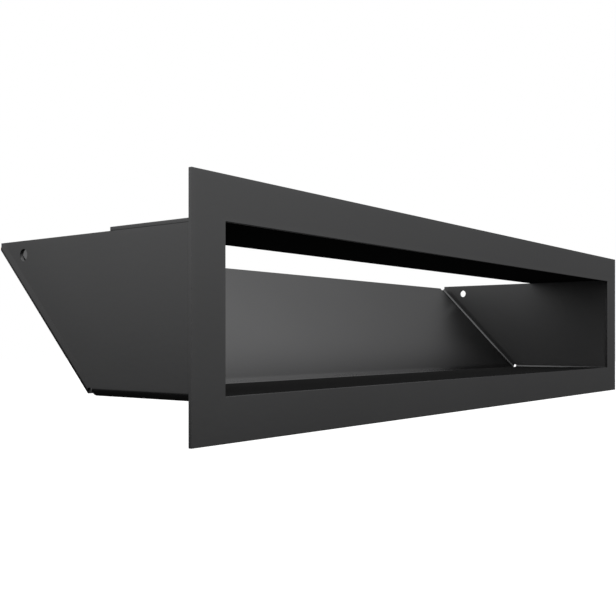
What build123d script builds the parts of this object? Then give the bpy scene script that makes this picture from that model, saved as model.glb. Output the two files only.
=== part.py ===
from build123d import *
from math import cos, radians, sin, tan
import os

# Fireplace vent grille in powder-coated sheet steel, in millimetres.
# A flat frame with a long window covers the cut-out in the chimney breast.
# A folded channel is welded to its rear face, and the channel's back plate
# leans at 45 degrees, so that air passes between the window in front and the
# open top at the rear. X runs along the frame, +Y into the wall and Z up.
# The origin is the middle of the frame's rear face, which lies on the wall.

os.makedirs("parts", exist_ok=True)

# Sheet and folds
frame_sheet = 1.5
sheet = 1.5
bend_radius = 1.5  # inside radius of every fold

# Channel, inside sizes
channel_width = 371.0
channel_height = 60.0  # floor to the top plate
floor_depth = 66.5  # frame to the foot of the back plate
back_angle = 45.0  # back plate to the floor's plane
back_drop = 1.5  # top of the side walls down to the back plate's end
wall_overhang = 0.3  # rear edge of the side walls behind the back plate's end

# Frame: what it covers outside the channel, and its edge inside the channel
cover_ends = 13.0
cover_long = 13.5
lip_ends = 1.0
lip_long = 0.8

# Top plate
top_depth = 55.0

# Folded seam between the side walls and the back plate
flange_width = 15.0  # outside width, from the side wall's outer face
seam_gap = 0.2  # flange to the back plate's rear face
plate_clearance = 6.5  # side wall to the end of the back plate
relief_rise = 0.2  # round end of the corner relief above the fold

# Fixing hole near each side wall's upper rear corner
hole_diameter = 5.0
hole_from_rear = 15.8
hole_from_top = 5.8

# Channel, worked out
lean = radians(back_angle)
half_width = channel_width / 2
outer_half_width = half_width + sheet
outer_radius = bend_radius + sheet
floor_z = -channel_height / 2
wall_top = channel_height / 2
underside = floor_z - sheet
back_height = channel_height - back_drop
back_end = floor_depth + back_height / tan(lean)
wall_depth = back_end + wall_overhang
floor_flat = floor_depth - bend_radius * tan(lean / 2)
wall_foot = floor_z + bend_radius

# The flange's fold leaves the side wall this far behind the back plate's
# inner face, and ends above the fold at the foot of the back plate.
flange_face = sheet + seam_gap
fold_start = flange_face - bend_radius
flange_foot = underside + outer_radius * (1 - cos(lean))

# Frame, worked out: 400 by 90 overall, with a window of 369 by 58.4
frame_length = 2 * (outer_half_width + cover_ends)
frame_top = wall_top + sheet + cover_long
frame_bottom = underside - cover_long
window_length = channel_width - 2 * lip_ends
window_top = wall_top - lip_long
window_bottom = floor_z + lip_long


def slope_y(z, behind):
    """Depth at height z of a line parallel to the back plate's inner face."""
    return floor_depth + (z - floor_z) / tan(lean) + behind / sin(lean)


def slope_z(y, behind):
    """Height at depth y of a line parallel to the back plate's inner face."""
    return floor_z + (y - floor_depth) * tan(lean) - behind / cos(lean)


# Front frame: flat plate with a sharp-cornered window
with BuildPart() as front_frame:
    with BuildSketch(Plane.XZ):
        with Locations((0, (frame_top + frame_bottom) / 2)):
            Rectangle(frame_length, frame_top - frame_bottom)
        with Locations((0, (window_top + window_bottom) / 2)):
            Rectangle(window_length, window_top - window_bottom, mode=Mode.SUBTRACT)
    extrude(amount=frame_sheet)

# Duct body: floor, side walls, seam flanges and back plate from one sheet
seam = Plane(
    origin=(0, floor_depth, floor_z),
    x_dir=(1, 0, 0),
    z_dir=(0, cos(lean), sin(lean)),
)
flange_start = (flange_foot - floor_z + fold_start * cos(lean)) / sin(lean)
corner_z = slope_z(wall_depth, fold_start)
flange_end = (wall_depth - floor_depth) * cos(lean) + (corner_z - floor_z) * sin(lean)
relief_width = slope_y(wall_foot, fold_start) - floor_flat
relief_top = wall_foot + relief_rise
relief_round = relief_top - relief_width / 2

with BuildPart() as duct_body:
    # Seam flange: a quarter fold and a flat strip behind the back plate
    with BuildSketch(seam.offset(flange_start)):
        with BuildLine():
            fold = CenterArc((half_width - bend_radius, fold_start), bend_radius, 0, 90)
            Line(fold @ 1, (outer_half_width - flange_width, flange_face))
            offset(amount=sheet, side=Side.RIGHT)
        make_face()
    extrude(amount=flange_end - flange_start)
    split(bisect_by=Plane.XY.offset(flange_foot), keep=Keep.TOP)
    mirror(about=Plane.YZ)

    # Floor with both side walls folded up, as far back as the floor is flat
    with BuildSketch(Plane.XZ):
        with BuildLine():
            FilletPolyline(
                (-half_width, wall_top),
                (-half_width, floor_z),
                (half_width, floor_z),
                (half_width, wall_top),
                radius=bend_radius,
            )
            offset(amount=sheet, side=Side.RIGHT)
        make_face()
    extrude(amount=-floor_flat)

    # Side walls behind the folds, cut to the slope of the back plate
    with BuildSketch(Plane.YZ.offset(half_width)):
        with BuildLine():
            Polyline(
                (0, wall_foot),
                (slope_y(wall_foot, fold_start), wall_foot),
                (wall_depth, corner_z),
                (wall_depth, wall_top),
                (0, wall_top),
                close=True,
            )
        make_face()
    walls = extrude(amount=sheet)
    mirror(walls, about=Plane.YZ)

    # Back plate, folded up from the rear edge of the floor
    with BuildSketch(Plane.YZ):
        with BuildLine():
            foot = JernArc((floor_flat, floor_z), (1, 0), bend_radius, back_angle)
            Line(foot @ 1, (back_end, floor_z + back_height))
            offset(amount=sheet, side=Side.RIGHT)
        make_face()
    extrude(amount=half_width - plate_clearance, both=True)

    # Corner reliefs, where three folds would meet
    with BuildSketch(Plane.YZ.offset(outer_half_width)):
        with Locations((floor_flat + relief_width / 2, relief_round)):
            Circle(relief_width / 2)
            Rectangle(
                relief_width,
                relief_round - underside,
                align=(Align.CENTER, Align.MAX),
            )
    relief = extrude(amount=-outer_radius, mode=Mode.SUBTRACT)
    mirror(relief, about=Plane.YZ, mode=Mode.SUBTRACT)

    # Fixing holes through both side walls
    with BuildSketch(Plane.YZ.offset(outer_half_width)):
        with Locations((wall_depth - hole_from_rear, wall_top - hole_from_top)):
            Circle(hole_diameter / 2)
    extrude(amount=-2 * outer_half_width, mode=Mode.SUBTRACT)

# Top plate: lies on the side walls, with its front edge against the frame
with BuildPart() as top_plate:
    with BuildSketch(Plane.XY.offset(wall_top)):
        Rectangle(2 * outer_half_width, top_depth, align=(Align.CENTER, Align.MIN))
    extrude(amount=sheet)

front_frame.part.label = "front_frame"
duct_body.part.label = "duct_body"
top_plate.part.label = "top_plate"

export_step(front_frame.part, "parts/front_frame.step")
export_step(duct_body.part, "parts/duct_body.step")
export_step(top_plate.part, "parts/top_plate.step")
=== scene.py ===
# %% [markdown]
# # Fireplace vent grille in powder-coated sheet steel
#
# The object is a slot vent for a fireplace. A flat frame with a long window
# covers the cut-out in the chimney breast, and a folded channel behind it
# turns the warm air between the window and the open top at the rear.
# It has three parts: `front_frame`, `duct_body` and `top_plate`. Their exact
# shapes come from the CAD model, so this script doesn't model them again. It
# gives them soft cut edges, the powder coat, the light and the camera.

# %% Load the CAD model
import math

import bmesh
import bpy
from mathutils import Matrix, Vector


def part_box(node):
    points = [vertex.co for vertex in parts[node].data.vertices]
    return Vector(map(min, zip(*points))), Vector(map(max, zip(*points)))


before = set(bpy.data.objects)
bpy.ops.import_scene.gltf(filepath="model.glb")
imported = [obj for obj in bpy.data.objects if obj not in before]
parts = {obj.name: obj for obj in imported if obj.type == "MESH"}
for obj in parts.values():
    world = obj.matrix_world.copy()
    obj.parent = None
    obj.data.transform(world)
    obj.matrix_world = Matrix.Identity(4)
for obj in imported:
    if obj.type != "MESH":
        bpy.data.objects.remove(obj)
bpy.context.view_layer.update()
print("parts:", sorted(parts))

# %% [markdown]
# ## Measures that the finish needs
#
# All lengths are in metres, in the frame of the CAD model: X runs along the
# frame, Y points into the wall, and Z is up. The finish changes near the rims
# of the sheets and in the folds, so the script needs to know where these are.
# They are read from the parts' own boxes, and only what a box doesn't tell is
# written down.

# %% Where the rims and folds are
MM = 0.001

frame_low, frame_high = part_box("front_frame")
duct_low, duct_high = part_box("duct_body")
plate_low, plate_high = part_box("top_plate")

window_half_length = 184.5 * MM
window_half_height = 29.2 * MM
sheet = plate_high.z - plate_low.z
wall_inside = duct_high.x - sheet
floor_inside = duct_low.z + sheet
floor_depth = 66.5 * MM
print("sheet in mm:", round(sheet / MM, 2))
print("channel inside in mm:", round(2 * wall_inside / MM, 1))

# %% [markdown]
# ## Soft cut edges
#
# The blanks are cut by laser, and the coat then flows round every cut edge, so
# no edge of the real vent is razor sharp. Its rounding of about 0.15 mm is what
# catches the light as a fine line along the sheets.
#
# It could be cut into the CAD solids, but that would cost many small faces
# there. Modifiers do it here and leave the meshes as they came. These are loose
# triangles, so Weld joins them first. Bevel then rounds what is sharper than 35
# degrees, which the folds aren't, and Weighted Normal keeps the broad faces
# flat in the light.

# %% Round the cut edges
EDGE_ROUND = 0.15 * MM
SHARP_ANGLE = math.radians(35.0)


def soften_edges(part):
    """Rounds the cut edges of a part with modifiers."""
    weld = part.modifiers.new("join_triangles", "WELD")
    weld.merge_threshold = 0.001 * MM

    bevel = part.modifiers.new("cut_edges", "BEVEL")
    bevel.affect = "EDGES"
    bevel.width = EDGE_ROUND
    bevel.segments = 2
    bevel.profile = 0.5
    bevel.material = -1
    bevel.limit_method = "ANGLE"
    bevel.angle_limit = SHARP_ANGLE
    bevel.miter_outer = "MITER_ARC"

    even = part.modifiers.new("flat_faces", "WEIGHTED_NORMAL")
    even.mode = "FACE_AREA"
    even.weight = 100
    even.keep_sharp = False


for name in sorted(parts):
    soften_edges(parts[name])
    print(name, "has", [modifier.name for modifier in parts[name].modifiers])

# %% [markdown]
# ## Shader maths as plain expressions
#
# A material in Blender is a graph of nodes, and most of the nodes behind a
# good finish only add and multiply. `Signal` wraps the output of a node, so
# that `1 - rim * 0.2` in Python adds the Math nodes for it. `Graph.add` makes
# any other node from its type, its settings and what goes into its sockets.


# %% A signal that adds its own Math nodes
class Signal:
    """One output of a node. Arithmetic with it adds Math nodes."""

    def __init__(self, graph, socket):
        self.graph = graph
        self.socket = socket

    def math(self, operation, *others):
        values = dict(enumerate((self, *others)))
        return self.graph.add("ShaderNodeMath", {"operation": operation}, values)

    def __add__(self, other):
        return self.math("ADD", other)

    def __sub__(self, other):
        return self.math("SUBTRACT", other)

    def __rsub__(self, other):
        return self.math("MULTIPLY_ADD", -1.0, other)

    def __mul__(self, other):
        return self.math("MULTIPLY", other)

    def __abs__(self):
        return self.math("ABSOLUTE")

    __radd__ = __add__
    __rmul__ = __mul__

    def least(self, other):
        return self.math("MINIMUM", other)

    def most(self, other):
        return self.math("MAXIMUM", other)


print("a Signal has", sorted(name for name in vars(Signal) if name[0] != "_"))


# %% A graph that makes any node
class Graph:
    """The nodes of one material or of the world."""

    def __init__(self, owner):
        owner.use_nodes = True
        self.tree = owner.node_tree
        self.tree.nodes.clear()

    def add(self, kind, settings=None, sockets=None, output=0):
        """Adds a node, sets it up, and returns one of its outputs."""
        node = self.tree.nodes.new(kind)
        for name, value in (settings or {}).items():
            if name == "stops":
                self.set_stops(node.color_ramp.elements, value)
            else:
                setattr(node, name, value)
        for name, value in (sockets or {}).items():
            if isinstance(value, Signal):
                self.tree.links.new(value.socket, node.inputs[name])
            else:
                node.inputs[name].default_value = value
        return Signal(self, node.outputs[output]) if len(node.outputs) else node

    def other(self, signal, output):
        """Another output of the node that a signal comes from."""
        return Signal(self, signal.socket.node.outputs[output])

    @staticmethod
    def set_stops(elements, stops):
        for index, (position, grey) in enumerate(stops):
            if index >= len(elements):
                elements.new(position)
            elements[index].position = position
            elements[index].color = (grey, grey, grey, 1.0)


print("a Graph has", sorted(name for name in vars(Graph) if name[0] != "_"))


# %% [markdown]
# ## The powder coat
#
# The steel is sprayed with dry powder, which melts in an oven to a skin about
# 80 micrometres thick. Seen close up the skin is never quite flat: it has a
# soft orange peel about two millimetres across, and under that a fine grain
# of a fifth of a millimetre. Its gloss and tone drift a little over a hand's
# breadth, because the skin isn't equally thick everywhere.
#
# A dark semi-gloss coat shows its colour mostly by what it mirrors, blurred by
# its roughness. A plain Principled shader with a black base would do it too,
# but it turns silvery at flat angles, and this coat stays dark there, because
# the powder holds metal flakes. So Metallic is 1, Base Color is the share of
# the light that the coat mirrors, and Specular Tint holds it back at flat
# angles. The finer work goes into roughness and bump.

# %% Noise for the coat
PEEL_SIZE = 2.2 * MM
GRAIN_SIZE = 0.22 * MM
CLOUD_SIZE = 70.0 * MM


def noise(graph, place, size, detail, roughness=0.5):
    """Soft noise between 0 and 1, with lumps of the given size."""
    return graph.add(
        "ShaderNodeTexNoise",
        {"noise_dimensions": "3D"},
        {
            "Vector": place,
            "Scale": 1.0 / size,
            "Detail": detail,
            "Roughness": roughness,
        },
    )


def smooth_step(graph, value, start, end):
    """0 before start, 1 after end, and a soft passage between them."""
    return graph.add(
        "ShaderNodeMapRange",
        {"interpolation_type": "SMOOTHSTEP"},
        {"Value": value, "From Min": start, "From Max": end},
    )


for title, size in (("peel", PEEL_SIZE), ("grain", GRAIN_SIZE), ("cloud", CLOUD_SIZE)):
    print(title, "is", round(size / MM, 2), "mm across")


# %% [markdown]
# Electric charge pulls the powder to every rim, so the coat is a little
# thicker and glossier along the cut edges. It keeps the powder out of inside
# corners, so the coat is thin and dull for a finger's breadth beside a fold.
# In the oven the melt then gathers in the hollow of the fold itself and sets
# smooth, which is the fine light line along the foot of the side walls. Each
# part says for itself how far a point is from its rims or folds, as plain
# arithmetic on the point's coordinates.


# %% Distance from the rims and folds
def frame_rim(x, y, z):
    """Distance to the nearest outer edge or window edge of the frame."""
    from_ends = frame_high.x - abs(x)
    from_long_edges = frame_high.z - abs(z)
    from_window = (abs(x) - window_half_length).most(abs(z) - window_half_height)
    return from_ends.least(from_long_edges).least(from_window)


def duct_rim(x, y, z):
    """Distance to the upper and rear edges of the channel."""
    return (duct_high.z - z).least(duct_high.y - y)


def plate_rim(x, y, z):
    """Distance to the ends and the rear edge of the top plate."""
    return (plate_high.x - abs(x)).least(plate_high.y - y)


def behind_slope(y, z):
    """How far a point lies behind the inner face of the leaning back plate."""
    return (y - z - (floor_depth - floor_inside)) * math.sqrt(0.5)


def duct_fold(x, y, z):
    """Distance to the nearest fold of the channel, seen from inside."""
    from_wall = abs(wall_inside - abs(x))
    from_floor = abs(z - floor_inside)
    from_slope = abs(behind_slope(y, z))
    floor_fold = from_wall.most(from_floor)
    rear_fold = from_floor.most(from_slope)
    seam_fold = from_wall.most(from_slope)
    return floor_fold.least(rear_fold).least(seam_fold)


print("rims of the frame, channel and plate, and folds of the channel")

# %% [markdown]
# The inside of the channel is harder to spray. The jet from the gun meets the
# side walls at a flat angle, and the powder that lands there dry gives a duller
# skin. The inner faces also get painted shade: a flat dark grey that is mixed
# in more strongly the flatter the eye meets a surface. It darkens the floor and
# the underside of the top plate to nearly black through the window, where shade
# falls inside the channel. Two helpers say how far behind the inner faces a
# point lies, so that only these faces get the painted shade.


# %% Which surfaces face the inside
def duct_beyond(x, y, z):
    """How far a point of the channel lies behind its inner faces."""
    beyond_wall = abs(x) - wall_inside
    return beyond_wall.most(floor_inside - z).most(behind_slope(y, z))


def plate_beyond(x, y, z):
    """How far a point of the top plate lies above its underside."""
    return z - plate_low.z


# These stops say how strongly painted shade covers the inner faces of the channel and the
# underside of the top plate, by how flat the eye meets them.
DUCT_PAINTED_SHADE = ((0.54, 0.0), (0.70, 0.22), (0.86, 0.32), (0.94, 1.0))
PLATE_PAINTED_SHADE = ((0.66, 0.0), (0.78, 1.0))
print("dust hides the channel's gloss fully from", DUCT_PAINTED_SHADE[-1][0], "of a flat view")

# %% [markdown]
# All of this comes together in one function, which makes the coat of one part.
# The three coats share their values and differ in where their rims, folds and
# inner faces are. `turn` shifts the noise, so that no pattern runs on from one
# part into the next. Peel and grain feed a Bump node, whose depth of a few
# hundredths of a millimetre is that of the real skin.

# %% The coat's values
BLACK = (0.1010, 0.1013, 0.1025, 1.0)
DARK_GREY = (0.1070, 0.1074, 0.1087, 1.0)
# Painted shade: a flat dark grey mixed over the inner faces, where shade falls inside the
# channel.
PAINTED_SHADE_GREY = (0.022, 0.022, 0.022, 1.0)
FLAT_VIEW_TINT = (0.52, 0.52, 0.52, 1.0)
GLOSS = 0.34
DRY_ROUGH = 0.12
FOLD_DRY = 0.08
HOLLOW_SMOOTH = 0.14
RIM_SMOOTH = 0.05
RIM_WIDTH = 3.0 * MM
FOLD_WIDTH = 24.0 * MM
HOLLOW_WIDTH = 3.0 * MM
SKIN_DEPTH = 0.045 * MM
print("roughness of the coat:", GLOSS, "and of the dry walls:", GLOSS + DRY_ROUGH)


# %% The coat's material
def coat_roughness(graph, x, y, z, cloud, grain, rim, fold):
    """Roughness from the clouds and grain, the rims and the folds."""
    roughness = GLOSS + (cloud - 0.5) * 0.06 + (grain - 0.5) * 0.06
    near_rim = 1 - smooth_step(graph, rim(x, y, z), 0.0, RIM_WIDTH)
    roughness = roughness - near_rim * RIM_SMOOTH
    if fold is None:
        return roughness
    from_fold = fold(x, y, z)
    near_fold = 1 - smooth_step(graph, from_fold, 0.0, FOLD_WIDTH)
    in_hollow = 1 - smooth_step(graph, from_fold, 1.5 * MM, HOLLOW_WIDTH)
    off_wall = abs(abs(x) - wall_inside)
    on_wall = 1 - smooth_step(graph, off_wall, 0.3 * MM, 0.6 * MM)
    roughness = roughness + on_wall * DRY_ROUGH + near_fold * FOLD_DRY
    return roughness - in_hollow * HOLLOW_SMOOTH


def add_painted_shade(graph, coat, beyond, painted_shade):
    """Mixes a flat dark grey over the inner faces as painted shade, more strongly the flatter
    the eye meets them.
    """
    dull = graph.add(
        "ShaderNodeBsdfPrincipled",
        sockets={"Base Color": PAINTED_SHADE_GREY, "Roughness": 1.0, "IOR": 1.0},
    )
    flat = graph.add("ShaderNodeLayerWeight", sockets={"Blend": 0.5}, output="Facing")
    shade_amount = graph.add("ShaderNodeValToRGB", {"stops": painted_shade}, {"Fac": flat})
    inside = 1 - smooth_step(graph, beyond, 0.3 * MM, 0.6 * MM)
    return graph.add(
        "ShaderNodeMixShader", sockets={"Fac": shade_amount * inside, 1: coat, 2: dull}
    )


def powder_coat(name, rim, fold=None, beyond=None, painted_shade=None, turn=0.0):
    """Dark semi-gloss powder coat of one part."""
    material = bpy.data.materials.new(name)
    graph = Graph(material)
    place = graph.add("ShaderNodeTexCoord", output="Object")
    x = graph.add("ShaderNodeSeparateXYZ", sockets={"Vector": place})
    y, z = graph.other(x, "Y"), graph.other(x, "Z")

    moved = graph.add(
        "ShaderNodeMapping", sockets={"Vector": place, "Location": (turn, 0.0, turn)}
    )
    peel = noise(graph, moved, PEEL_SIZE, 1.0)
    grain = noise(graph, moved, GRAIN_SIZE, 2.0, 0.6)
    cloud = noise(graph, moved, CLOUD_SIZE, 3.0)

    tone = smooth_step(graph, cloud * 0.7 + grain * 0.3, 0.3, 0.7)
    colour = graph.add(
        "ShaderNodeMix",
        {"data_type": "RGBA"},
        {"Factor": tone, 6: BLACK, 7: DARK_GREY},
        output=2,
    )
    bump = graph.add(
        "ShaderNodeBump",
        sockets={
            "Strength": 0.55,
            "Distance": SKIN_DEPTH,
            "Height": peel * 0.75 + grain * 0.25,
        },
    )
    coat = graph.add(
        "ShaderNodeBsdfPrincipled",
        {"distribution": "MULTI_GGX"},
        {
            "Base Color": colour,
            "Roughness": coat_roughness(graph, x, y, z, cloud, grain, rim, fold),
            "Metallic": 1.0,
            "IOR": 1.5,
            "Specular Tint": FLAT_VIEW_TINT,
            "Normal": bump,
        },
    )
    # On the inner faces, painted shade is mixed over the coat.
    if beyond:
        coat = add_painted_shade(graph, coat, beyond(x, y, z), painted_shade)
    graph.add("ShaderNodeOutputMaterial", sockets={"Surface": coat})
    return material


print("one function makes the coat of each part")

# %% Coat the three parts
coats = {
    "front_frame": powder_coat("frame_coat", frame_rim),
    "duct_body": powder_coat(
        "duct_coat", duct_rim, duct_fold, duct_beyond, DUCT_PAINTED_SHADE, 0.31
    ),
    "top_plate": powder_coat(
        "plate_coat", plate_rim, None, plate_beyond, PLATE_PAINTED_SHADE, 0.57
    ),
}
for name, coat in coats.items():
    part = parts[name]
    for holder in part.material_slots:
        holder.material = coat
    print(name, "has", len(coat.node_tree.nodes), "nodes in its coat")

# %% [markdown]
# ## Floor
#
# The vent is shown as a catalogue shows it, in the air before a white ground.
# The floor is a plain pale sheet, far enough below that the soft shadow of the
# vent stays out of the main view. To the camera it also glows a little, by as
# much as its own colour falls short of white, so that it reads as white where
# no shadow falls and the shadow still darkens it.

# %% A pale floor
FLOOR_HEIGHT = -0.80
FLOOR_HALF_SIZE = 30.0
FLOOR_COLOUR = (0.8, 0.8, 0.8, 1.0)
FLOOR_GLOW = 0.30

shape = bmesh.new()
bmesh.ops.create_grid(shape, x_segments=1, y_segments=1, size=FLOOR_HALF_SIZE)
bmesh.ops.translate(shape, verts=shape.verts, vec=(0, 0, FLOOR_HEIGHT))
floor_mesh = bpy.data.meshes.new("floor")
shape.to_mesh(floor_mesh)
shape.free()
floor = bpy.data.objects.new("floor", floor_mesh)
bpy.context.collection.objects.link(floor)

paper = bpy.data.materials.new("floor_paper")
graph = Graph(paper)
camera_sees = graph.add("ShaderNodeLightPath", output="Is Camera Ray")
matte = graph.add("ShaderNodeBsdfDiffuse", sockets={"Color": FLOOR_COLOUR})
glow = graph.add("ShaderNodeEmission", sockets={"Strength": camera_sees * FLOOR_GLOW})
both = graph.add("ShaderNodeAddShader", sockets={0: matte, 1: glow})
graph.add("ShaderNodeOutputMaterial", sockets={"Surface": both})
floor_mesh.materials.append(paper)
floor.visible_glossy = False
floor.visible_diffuse = False
print("floor at", FLOOR_HEIGHT, "m, and", 2 * FLOOR_HALF_SIZE, "m wide")

# %% [markdown]
# ## Light
#
# A soft white studio lights the vent from all round, with no lamp of its own.
# The camera sees its ground as plain white. What the coat mirrors is the room
# itself: white overhead, plain at the height of the eye, and dim towards the
# ground, where a studio's floor lies in shade. This fall of light is what
# shades each sheet from light at the top to dark at the bottom. With an evenly
# white room the coat would be one flat grey, since it mirrors every direction
# alike.
#
# The room is a ramp over the height of a direction, from -1 straight down to 1
# straight up. Behind the vent the light climbs faster, as on a backdrop that
# is lit from above.

# %% The light over the height
ROOM_PEAK = 1.50
ROOM_LIGHT = (
    (-1.00, 0.03),
    (-0.33, 0.03),
    (-0.12, 0.33),
    (0.00, 0.49),
    (0.17, 0.73),
    (0.50, 0.78),
    (0.68, 1.24),
    (1.00, 1.40),
)
BEHIND = 1.2
for rise, light in ROOM_LIGHT:
    print("light", light, "at", round(math.degrees(math.asin(rise))), "degrees")

# %% The white room
world = bpy.data.worlds.new("white_room")
bpy.context.scene.world = world
graph = Graph(world)
camera_ray = graph.add("ShaderNodeLightPath", output="Is Camera Ray")
mirror_ray = graph.other(camera_ray, "Is Glossy Ray")
clear_ray = graph.other(camera_ray, "Is Transmission Ray")
direction = graph.add("ShaderNodeTexCoord", output="Generated")
across = graph.add("ShaderNodeSeparateXYZ", sockets={"Vector": direction})
height = graph.other(across, "Z")
behind = graph.other(across, "Y").most(0.0)

steep_height = height * (1 + behind * BEHIND)
stops = [((1 + rise) / 2, light / ROOM_PEAK) for rise, light in ROOM_LIGHT]
ramp = graph.add(
    "ShaderNodeValToRGB", {"stops": stops}, {"Fac": steep_height * 0.5 + 0.5}
)
seen_in_coat = mirror_ray.most(clear_ray)
room = ramp * ROOM_PEAK * (0.9 + seen_in_coat * 0.1)
background = graph.add(
    "ShaderNodeBackground",
    sockets={
        "Color": (1.0, 1.0, 1.0, 1.0),
        "Strength": camera_ray + (1 - camera_ray) * room,
    },
)
graph.add("ShaderNodeOutputWorld", sockets={"Surface": background})
print("the world has", len(world.node_tree.nodes), "nodes")

# %% [markdown]
# ## Camera
#
# The photograph was taken close to the left end of the frame, at the height
# of the channel, with the camera level. Its place and focal length were worked
# out from the two vanishing points of the object's long edges. The small
# shift puts the horizon where the photograph has it.

# %% Camera
CAMERA_PLACE = (-0.39279, -0.20279, -0.01000)
CAMERA_TURN = math.radians(53.627)  # from straight into the wall, to the right

camera_data = bpy.data.cameras.new("camera")
camera_data.sensor_width = 36.0
camera_data.lens = 50.38
camera_data.shift_x = -0.0543
camera_data.shift_y = 0.0505
camera_data.clip_start = 0.01
camera_data.clip_end = 100.0
camera = bpy.data.objects.new("camera", camera_data)
camera.location = CAMERA_PLACE
camera.rotation_euler = (math.radians(90.0), 0.0, -CAMERA_TURN)
bpy.context.collection.objects.link(camera)
bpy.context.scene.camera = camera
bpy.context.scene.view_settings.view_transform = "Standard"
print("camera", round(camera_data.lens, 2), "mm, turned", round(math.degrees(CAMERA_TURN), 1))

# %% [markdown]
